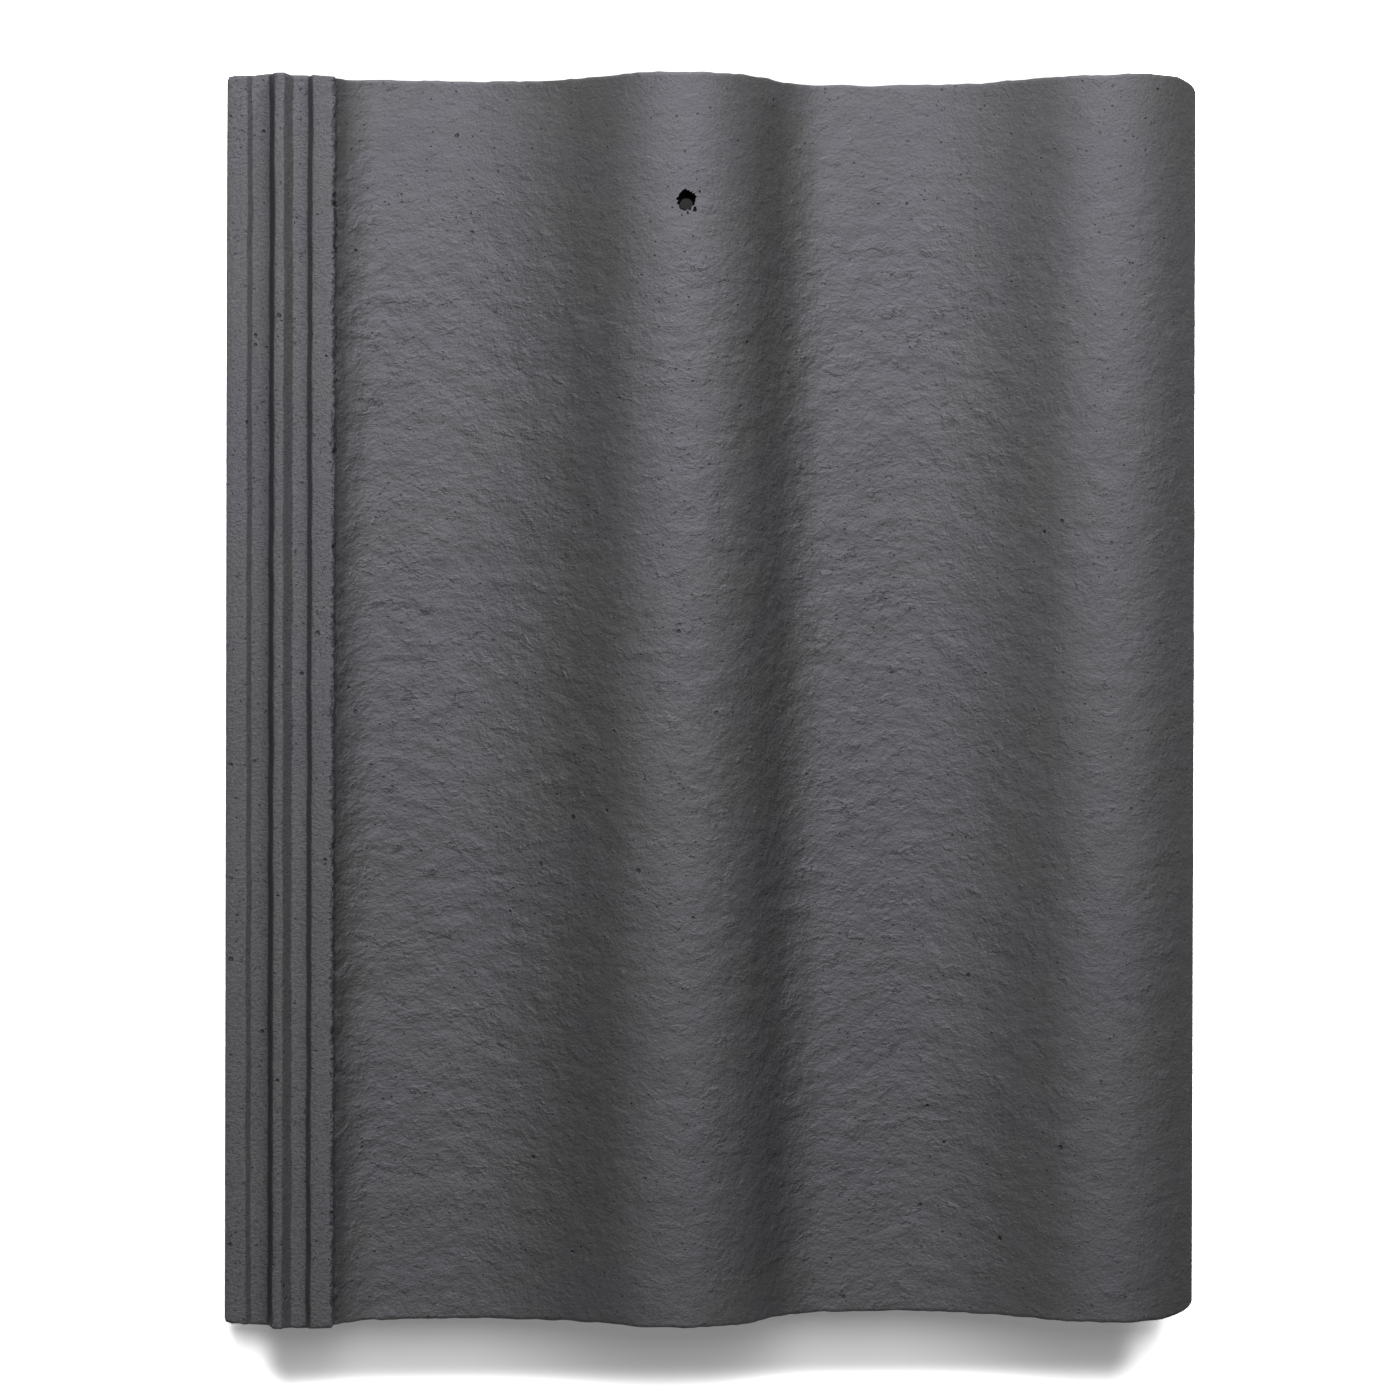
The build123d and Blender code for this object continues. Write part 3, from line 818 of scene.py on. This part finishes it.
def coat_material(finish, wrinkles, pores, crumbs):
    """Satin coat over the weather face, edges and cut ends."""
    material = bpy.data.materials.new("Anthracite Satin Coat")
    material.use_nodes = True
    tree = material.node_tree
    shader = tree.nodes["Principled BSDF"]
    where = tree.nodes.new("ShaderNodeTexCoord").outputs["Object"]
    relief = add_node(tree, "ShaderNodeAttribute", attribute_name="wrinkles").outputs["Fac"]
    drag = place_group(
        tree, wrinkles, {"Vector": where, "Depth": product(tree, relief, finish.wrinkle_depth)})
    pits = place_group(tree, pores, {"Vector": where, "Scale": 700.0, "Share": 0.09, "Depth": 0.0004})
    # The side lock, left of the first pan, has a coarser grain and more holes.
    apart = add_node(tree, "ShaderNodeSeparateXYZ", {"Vector": where}).outputs
    across = apart["X"]
    on_lock = map_range(tree, across, *LOCK_EDGE_X, 1.0, 0.0)
    clusters = noise_node(tree, where, scale=45.0, detail=3.0, roughness=0.6)
    clusters = map_range(tree, clusters, 0.5, 0.68, 0.002, 0.06)
    clusters = total(tree, clusters, product(tree, on_lock, 0.03))
    holes = place_group(
        tree, pores, {"Vector": where, "Scale": 380.0, "Share": clusters, "Depth": 0.0006})
    # Crumbs are missing along the step beside the lock, except at the two cut ends.
    at_step = map_range(tree, distance_from(tree, across, LOCK_STEP_X), 0.0004, 0.0016, 0.2, 0.0)
    inside = map_range(tree, distance_from(tree, apart["Y"], 0.0), 0.2085, 0.2105, 1.0, 0.0)
    amount = total(tree, product(tree, on_lock, 0.035), product(tree, at_step, inside))
    crumbled = place_group(tree, crumbs, {"Vector": where, "Amount": amount, "Depth": 0.0004})
    grain = noise_node(tree, where, scale=900.0, detail=4.0, roughness=0.75)
    sandy = total(tree, product(tree, on_lock, 0.7), 1.0)
    height = total(
        tree, drag["Height"], pits["Height"], holes["Height"], crumbled["Height"],
        product(tree, grain, sandy, finish.grain_depth))
    bump = add_node(tree, "ShaderNodeBump", {"Height": height, "Distance": 1.0, "Strength": 1.0})
    # The tone has broad patches and a fine speckle. It is also darkened as painted shade in every hollow:
    # the pores, the holes, the crumb pits, the lips' steep faces that turn from the light, and the gutter
    # beside the lock.
    patches = noise_node(tree, where, scale=28.0, detail=4.0, roughness=0.6)
    patches = map_range(tree, patches, 0.3, 0.7, 0.96, 1.04)
    contrast = total(tree, product(tree, on_lock, 1.6), 1.0)
    speckle = product(tree, math_node(tree, "SUBTRACT", grain, 0.5), contrast)
    speckle = total(tree, speckle, product(tree, on_lock, 0.06), 1.0)
    # The gutter between the lock's step and the first pan is darkened: painted shade from the wall beside
    # it.
    gutter_shade = map_range(tree, distance_from(tree, across, GUTTER_SHADE_X), 0.0006, 0.0034, 0.28, 0.0)
    painted_hollow_shade = total(
        tree, product(tree, drag["Lips"], 0.45), product(tree, pits["Pores"], 0.6),
        product(tree, holes["Pores"], 0.8), product(tree, crumbled["Pits"], 0.75), gutter_shade)
    tone = product(tree, patches, speckle, math_node(tree, "SUBTRACT", 1.0, painted_hollow_shade, clamp=True))
    hue = noise_node(tree, where, scale=21.0, detail=3.0, roughness=0.6, distortion=0.4)
    hue = map_range(tree, hue, 0.38, 0.62)
    red, green, blue = finish.coat
    colour = add_node(
        tree, "ShaderNodeMix",
        {0: hue, 6: (red, green * 1.005, blue * 0.97, 1.0), 7: (red, green * 0.995, blue * 1.03, 1.0)},
        data_type="RGBA").outputs[2]
    shaded = add_node(
        tree, "ShaderNodeVectorMath", {0: colour, "Scale": tone}, operation="SCALE"
    ).outputs["Vector"]
    tree.links.new(shaded, shader.inputs["Base Color"])
    roughness = map_range(
        tree, grain, 0.3, 0.7, finish.coat_roughness - 0.04, finish.coat_roughness + 0.06)
    tree.links.new(roughness, shader.inputs["Roughness"])
    tree.links.new(bump.outputs["Normal"], shader.inputs["Normal"])
    shader.inputs["Specular IOR Level"].default_value = 1.0
    shader.inputs["Specular Tint"].default_value = tuple(finish.sheen) + (1.0,)
    return material


def bare_material(finish, pores):
    """Uncoated dark concrete of the underside: matt, sandy and pitted."""
    material = bpy.data.materials.new("Bare Dark Concrete")
    material.use_nodes = True
    tree = material.node_tree
    shader = tree.nodes["Principled BSDF"]
    where = tree.nodes.new("ShaderNodeTexCoord").outputs["Object"]
    pits = place_group(tree, pores, {"Vector": where, "Scale": 260.0, "Share": 0.22, "Depth": 0.0005})
    sand = noise_node(tree, where, scale=900.0, detail=4.0, roughness=0.65)
    lumps = noise_node(tree, where, scale=160.0, detail=3.0, roughness=0.6)
    height = total(tree, product(tree, sand, 0.00025), pits["Height"], product(tree, lumps, 0.0004))
    bump = add_node(tree, "ShaderNodeBump", {"Height": height, "Distance": 1.0, "Strength": 1.0})
    cloudy = noise_node(tree, where, scale=35.0, detail=5.0, roughness=0.62)
    cloudy = map_range(tree, cloudy, 0.3, 0.7, 0.8, 1.2)
    specks = map_range(tree, sand, 0.35, 0.7, 0.8, 1.25)
    # The pores are darkened as painted shade.
    painted_hollow_shade = product(tree, pits["Pores"], 0.7)
    tone = product(tree, cloudy, specks, math_node(tree, "SUBTRACT", 1.0, painted_hollow_shade))
    shaded = add_node(
        tree, "ShaderNodeVectorMath", {0: tuple(finish.bare), "Scale": tone}, operation="SCALE"
    ).outputs["Vector"]
    tree.links.new(shaded, shader.inputs["Base Color"])
    tree.links.new(bump.outputs["Normal"], shader.inputs["Normal"])
    shader.inputs["Roughness"].default_value = 0.9
    shader.inputs["Specular IOR Level"].default_value = 0.3
    return material


def hole_shade_material():
    """Almost black colour inside the nail hole and its chips, painted shade for the hole's shadowed wall;
    its surface is rough and dull.
    """
    material = bpy.data.materials.new(HOLE_SHADE)
    material.use_nodes = True
    shader = material.node_tree.nodes["Principled BSDF"]
    shader.inputs["Base Color"].default_value = (0.012, 0.012, 0.012, 1.0)
    shader.inputs["Roughness"].default_value = 1.0
    shader.inputs["Specular IOR Level"].default_value = 0.1
    return material


def dress(tile, finish):
    """Gives the coated faces and the bare underside their materials; the hole's wall gets its near-black
    painted shade later.
    """
    wrinkles = wrinkle_group()
    pores = pore_group()
    tile.data.materials.append(coat_material(finish, wrinkles, pores, crumb_group()))
    tile.data.materials.append(bare_material(finish, pores))
    tile.data.materials.append(hole_shade_material())
    for face in tile.data.polygons:
        face.material_index = 1 if face.normal.z < BARE_DOWN else 0


class ROOFTILE_OT_body(bpy.types.Operator):
    """Model the roof tile and lay it on the floor"""
    bl_idname = "roof_tile.body"
    bl_label = "Roof Tile"

    def execute(self, context):
        sizes = context.scene.roof_tile_sizes
        start_fresh()
        tile = draw_section(section_outline(sizes), "roof_tile_coated")
        extrude_rows(tile, sizes)
        cap_ends(tile, sizes)
        grow_ribs(tile)
        grow_nibs(tile, sizes)
        mark_relief(tile, sizes)
        displace(
            tile, "broad swell", scale=0.022, depth=2, strength=sizes.swell, stretch=(1.4, 1.0, 1.4))
        displace(
            tile, "close swell", scale=0.007, depth=3, strength=sizes.swell * 0.5,
            stretch=(1.25, 1.0, 1.25))
        crumble_lock(tile, sizes)
        ragged_ends(tile, sizes)
        dress(tile, context.scene.roof_tile_finish)
        cut_nail_hole(tile, sizes)
        tile.data.transform(lay_down_matrix(sizes))
        start_fresh()
        tile.select_set(True)
        context.view_layer.objects.active = tile
        bpy.ops.object.shade_smooth_by_angle(angle=SMOOTH_ANGLE)
        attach(tile, "root")
        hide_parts("roof_tile")
        return {"FINISHED"}


def floor_material(studio):
    """Floor that the camera sees white with the tile's shadow, painted shade under the tile and a painted
    shadow below its tail, and that lights the tile as plain grey.
    """
    material = bpy.data.materials.new("Studio White")
    material.use_nodes = True
    tree = material.node_tree
    tree.nodes.clear()
    path = tree.nodes.new("ShaderNodeLightPath").outputs
    # The satin coat reflects only a little of the white floor, so that the tile's steep edge stays dark.
    glossy = product(tree, path["Is Glossy Ray"], FLOOR_IN_COAT)
    seen = math_node(tree, "MAXIMUM", path["Is Camera Ray"], glossy)
    seen = math_node(tree, "MAXIMUM", seen, path["Is Transmission Ray"])
    where = tree.nodes.new("ShaderNodeTexCoord").outputs["Object"]
    apart = add_node(tree, "ShaderNodeSeparateXYZ", {"Vector": where}).outputs
    off_x = distance_from(tree, apart["X"], 0.0)
    off_y = distance_from(tree, apart["Y"], 0.0)
    # Under the tile the floor is held almost black and gets no glow: painted shade.
    under = product(
        tree, map_range(tree, off_x, *UNDER_HALF_WIDTH, 1.0, 0.0),
        map_range(tree, off_y, *UNDER_HALF_LENGTH, 1.0, 0.0))
    # The floor just below the tail is held back, a painted shadow that adds to the real one, so that the
    # shadow there shows under the pans too.
    painted_shadow_band = product(
        tree, map_range(tree, apart["Y"], *BAND_Y),
        map_range(tree, off_x, *BAND_HALF_WIDTH, 1.0, 0.0))
    beyond = map_range(tree, painted_shadow_band, 0.0, 1.0, OPEN_GAIN, BAND_SHADOW_GAIN)
    gain = map_range(tree, under, 0.0, 1.0, beyond, UNDER_SHADE_GAIN)
    colour = tuple(studio.floor_colour) + (1.0,)
    plain = add_node(tree, "ShaderNodeBsdfDiffuse", {"Color": colour}).outputs[0]
    lit = add_node(tree, "ShaderNodeCombineColor", {0: gain, 1: gain, 2: gain}).outputs[0]
    shadowed = add_node(tree, "ShaderNodeBsdfDiffuse", {"Color": lit}).outputs[0]
    glow = map_range(tree, under, 0.0, 1.0, OPEN_GLOW, 0.0)
    haze = add_node(tree, "ShaderNodeEmission", {"Strength": glow}).outputs[0]
    shown = add_node(tree, "ShaderNodeAddShader", {0: shadowed, 1: haze}).outputs[0]
    mixed = add_node(tree, "ShaderNodeMixShader", {0: seen, 1: plain, 2: shown}).outputs[0]
    output = tree.nodes.new("ShaderNodeOutputMaterial")
    tree.links.new(mixed, output.inputs["Surface"])
    return material


def room(studio):
    """Even room light, seen by the camera as white."""
    world = bpy.data.worlds.new("Studio Room")
    bpy.context.scene.world = world
    world.use_nodes = True
    tree = world.node_tree
    back = tree.nodes["Background"]
    path = tree.nodes.new("ShaderNodeLightPath").outputs
    seen = math_node(tree, "MAXIMUM", path["Is Camera Ray"], path["Is Transmission Ray"])
    strength = add_node(
        tree, "ShaderNodeMapRange", {"Value": seen, "To Min": studio.room_light, "To Max": 1.0}).outputs[0]
    tree.links.new(strength, back.inputs["Strength"])
    back.inputs["Color"].default_value = (1.0, 1.0, 1.0, 1.0)


class ROOFTILE_OT_stage(bpy.types.Operator):
    """Set up the floor, the softbox and the camera above the tile"""
    bl_idname = "roof_tile.stage"
    bl_label = "Studio"

    def execute(self, context):
        studio = context.scene.roof_tile_studio
        start_fresh()
        bpy.ops.mesh.primitive_plane_add(size=12.0)
        floor = context.object
        floor.name = "studio_floor"
        floor.data.materials.append(floor_material(studio))
        room(studio)

        low_edge, high_edge = Vector(SOFTBOX_LOW_EDGE), Vector(SOFTBOX_HIGH_EDGE)
        run = high_edge - low_edge
        bpy.ops.object.light_add(type="AREA", location=(low_edge + high_edge) / 2)
        lamp = context.object
        lamp.name = "softbox"
        lamp.data.shape = "RECTANGLE"
        lamp.data.size = SOFTBOX_WIDTH
        lamp.data.size_y = run.length
        lamp.data.energy = studio.softbox_power
        up = run.normalized()
        facing = Vector((1.0, 0.0, 0.0)).cross(up).normalized()
        if facing.z < 0.0:
            facing = -facing
        lamp.rotation_euler = Matrix((up.cross(facing), up, facing)).transposed().to_euler()
        lamp.visible_camera = False

        camera = bpy.data.cameras.new("camera")
        camera.sensor_width = 36.0
        camera.sensor_fit = "HORIZONTAL"
        camera.lens = CAMERA_LENS
        view = bpy.data.objects.new("camera", camera)
        context.scene.collection.objects.link(view)
        drawn = Matrix.Translation(Vector(CAMERA_PLACE) * MM)
        for degrees, axis in reversed(list(zip(CAMERA_TURN, "XYZ"))):
            drawn @= Matrix.Rotation(math.radians(degrees), 4, axis)
        view.matrix_world = lay_down_matrix(context.scene.roof_tile_sizes) @ drawn
        context.scene.camera = view
        context.scene.view_settings.view_transform = "Standard"
        return {"FINISHED"}


class ROOFTILE_PT_panel(bpy.types.Panel):
    """Roof tile tools"""
    bl_label = "Roof Tile"
    bl_idname = "ROOFTILE_PT_panel"
    bl_space_type = "VIEW_3D"
    bl_region_type = "UI"
    bl_category = "Roof Tile"

    def draw(self, context):
        layout = self.layout
        for group in (context.scene.roof_tile_sizes, context.scene.roof_tile_finish,
                      context.scene.roof_tile_studio):
            for name in group.__annotations__:
                layout.prop(group, name)
        layout.operator(ROOFTILE_OT_body.bl_idname)
        layout.operator(ROOFTILE_OT_stage.bl_idname)


CLASSES = (
    RoofTileSizes, RoofTileFinish, RoofTileStudio, ROOFTILE_OT_body, ROOFTILE_OT_stage, ROOFTILE_PT_panel)


def register():
    for cls in CLASSES:
        bpy.utils.register_class(cls)
    bpy.types.Scene.roof_tile_sizes = PointerProperty(type=RoofTileSizes)
    bpy.types.Scene.roof_tile_finish = PointerProperty(type=RoofTileFinish)
    bpy.types.Scene.roof_tile_studio = PointerProperty(type=RoofTileStudio)


def unregister():
    del bpy.types.Scene.roof_tile_studio
    del bpy.types.Scene.roof_tile_finish
    del bpy.types.Scene.roof_tile_sizes
    for cls in reversed(CLASSES):
        bpy.utils.unregister_class(cls)


def main():
    register()
    bpy.ops.roof_tile.body()
    bpy.ops.roof_tile.stage()


if __name__ == "__main__":
    main()
